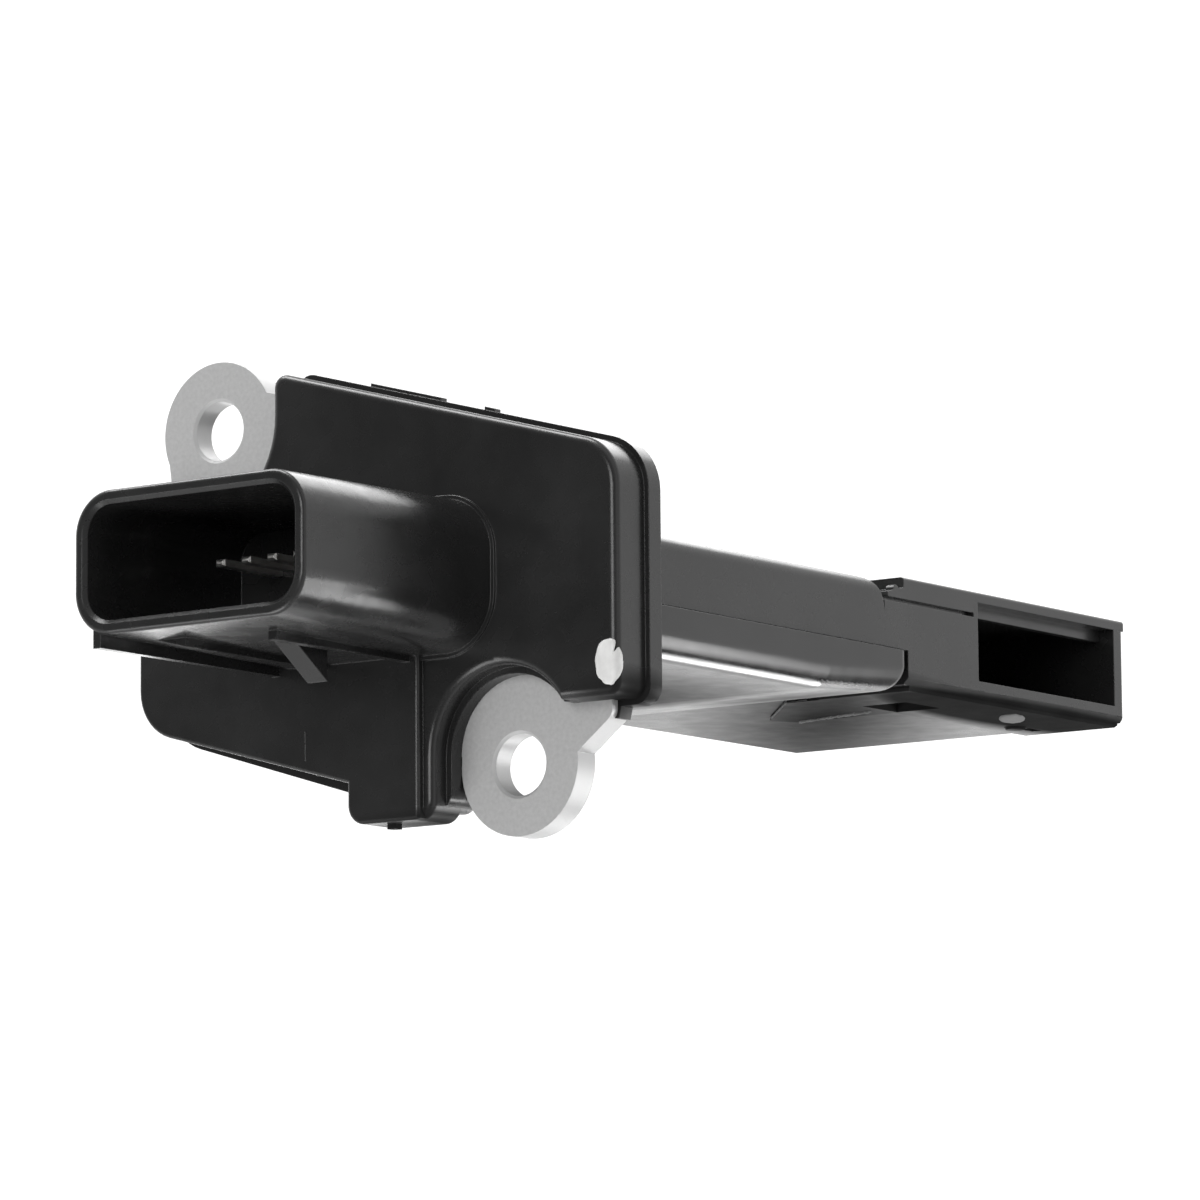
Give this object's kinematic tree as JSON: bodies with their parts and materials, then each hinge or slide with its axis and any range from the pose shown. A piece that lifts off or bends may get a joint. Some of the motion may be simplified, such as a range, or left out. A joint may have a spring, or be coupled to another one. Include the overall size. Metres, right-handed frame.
{
  "type": "mass airflow sensor",
  "caption": "Plug-in air sensor: moulded body on a metal plate with screw ears, keyed connector, and a flat probe with a side-inlet bypass at its tip.",
  "frame": {"origin": "midway between the two screw holes, on the face of the plate that seats on the duct", "axes": "+Z out of the duct along the connector, -Z along the probe, +X towards the bypass inlet"},
  "size_m": [0.0523, 0.0444, 0.1217],
  "materials": {
    "housing_plastic": "semi-gloss moulded",
    "plate_metal": "fine matte with bright cut edges",
    "cover_plastic": "semi-gloss moulded",
    "sealant": "soft silicone",
    "seal_rubber": "matte",
    "terminal_metal": "tinned",
    "element_ceramic": "satin",
    "heat_plate_metal": "plain rolled",
    "board_ceramic": "matte",
    "chip_plastic": "matte",
    "ribbon_metal": "bright"
  },
  "bodies": {
    "root": {"housing": "housing_plastic", "mounting_plate": "plate_metal", "bypass_cover": "cover_plastic", "module_cover": "cover_plastic", "cover_adhesive": "sealant", "seal_ring": "seal_rubber", "silicone_gel": "sealant", "element_posts": "terminal_metal", "hot_element": "element_ceramic", "cold_element": "element_ceramic", "air_thermistor": "element_ceramic", "heat_plate": "heat_plate_metal", "circuit_board": "board_ceramic", "signal_chip": "chip_plastic", "heater_driver": "chip_plastic", "capacitors": "element_ceramic", "bond_ribbons": "ribbon_metal", "terminal_1": "terminal_metal", "terminal_2": "terminal_metal", "terminal_3": "terminal_metal", "terminal_4": "terminal_metal", "terminal_5": "terminal_metal", "terminal_6": "terminal_metal"}
  },
  "joints": []
}
